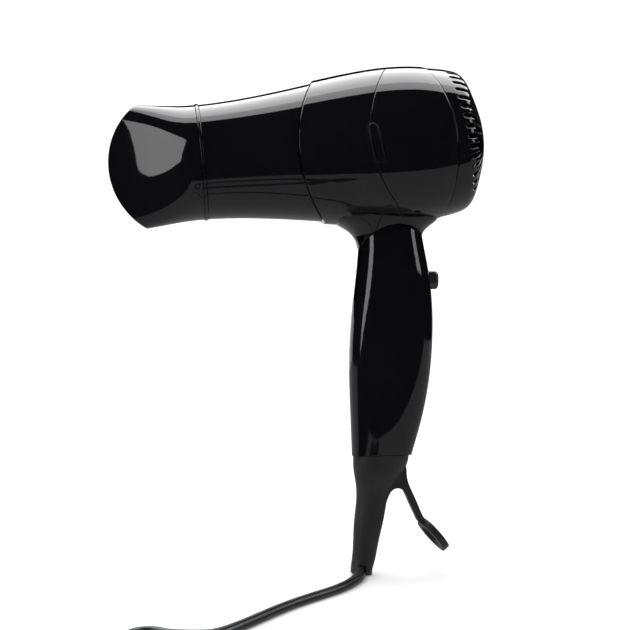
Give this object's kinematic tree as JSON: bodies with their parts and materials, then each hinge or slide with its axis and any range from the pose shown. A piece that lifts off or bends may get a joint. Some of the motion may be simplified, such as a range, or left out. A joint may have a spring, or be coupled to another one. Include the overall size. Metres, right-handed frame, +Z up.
{
  "type": "travel hair dryer",
  "caption": "Folding hair dryer with a tapered barrel, turning concentrator nozzle, slotted rear intake, folding handle with slide switch, hang loop and flat cord.",
  "frame": {"origin": "middle of the dryer's bounding box on the table to within a millimetre, cord left out", "axes": "+Z up along the standing handle, +X towards the rear intake grille, -X towards the nozzle; the dryer is mirrored about Y = 0"},
  "size_m": [0.1867, 0.2573, 0.2551],
  "materials": {
    "gloss_shell": "high gloss",
    "knob": "gloss",
    "inner_plastic": "matt",
    "impeller_plastic": "satin",
    "soft_rubber": "matt",
    "cord_jacket": "satin",
    "mica": "satin",
    "resistance_wire": "drawn",
    "steel": "plated",
    "brass": "plated",
    "board": "satin",
    "filter": "matt",
    "lead_insulation": "satin"
  },
  "bodies": {
    "handle": {"handle_left_shell": "gloss_shell", "handle_right_shell": "gloss_shell", "handle_screws": "steel", "hinge_bracket_left": "steel", "hinge_bracket_right": "steel", "pivot_bush_left": "brass", "pivot_bush_right": "brass", "switch_body": "inner_plastic", "cord_boot": "soft_rubber", "cord_clamp": "inner_plastic", "clamp_screws": "steel", "inner_leads": "lead_insulation", "cord_run": "cord_jacket", "cord_coil": "cord_jacket", "plug_body": "cord_jacket", "plug_pins": "brass"},
    "barrel": {"front_barrel": "gloss_shell", "mid_housing": "gloss_shell", "rear_housing": "gloss_shell", "hinge_cover": "gloss_shell", "rear_grille": "gloss_shell", "filter_mesh": "filter", "outlet_grille": "inner_plastic", "mica_sleeve": "mica", "mica_plate_vertical": "mica", "mica_plate_horizontal": "mica", "heater_coil_high": "resistance_wire", "heater_coil_low": "resistance_wire", "thermostat": "steel", "thermal_fuse": "steel", "fan_duct": "inner_plastic", "motor_can": "steel", "motor_end_cap": "inner_plastic", "rectifier_board": "board", "seam_clip_left": "gloss_shell", "seam_clip_right": "gloss_shell", "hinge_knuckle": "inner_plastic"},
    "fan": {"motor_shaft": "steel", "impeller": "impeller_plastic"},
    "switch": {"switch_knob": "knob", "switch_slider": "inner_plastic"},
    "nozzle_ring": {"nozzle_ring": "gloss_shell"},
    "nozzle": {"nozzle_shell": "gloss_shell"}
  },
  "joints": [
    {"name": "handle_fold", "type": "hinge", "parent": "handle", "child": "barrel", "pos_m": [0.04745, 0, 0.1566], "axis": [0, -1, 0], "range_deg": [0, 70]},
    {"name": "fan_spin", "type": "hinge", "parent": "barrel", "child": "fan", "pos_m": [0.05272, 0, 0.21592], "axis": [0.996, 0, 0.0894], "continuous": true},
    {"name": "switch_slide", "type": "slide", "parent": "handle", "child": "switch", "axis": [0, 0, -1], "range_m": [0, 0.008]},
    {"name": "nozzle_pull", "type": "slide", "parent": "barrel", "child": "nozzle_ring", "axis": [-0.996, 0, -0.0894], "range_m": [0, 0.01]},
    {"name": "nozzle_turn", "type": "hinge", "parent": "nozzle_ring", "child": "nozzle", "pos_m": [-0.04788, 0, 0.20689], "axis": [0.996, 0, 0.0894], "continuous": true}
  ]
}
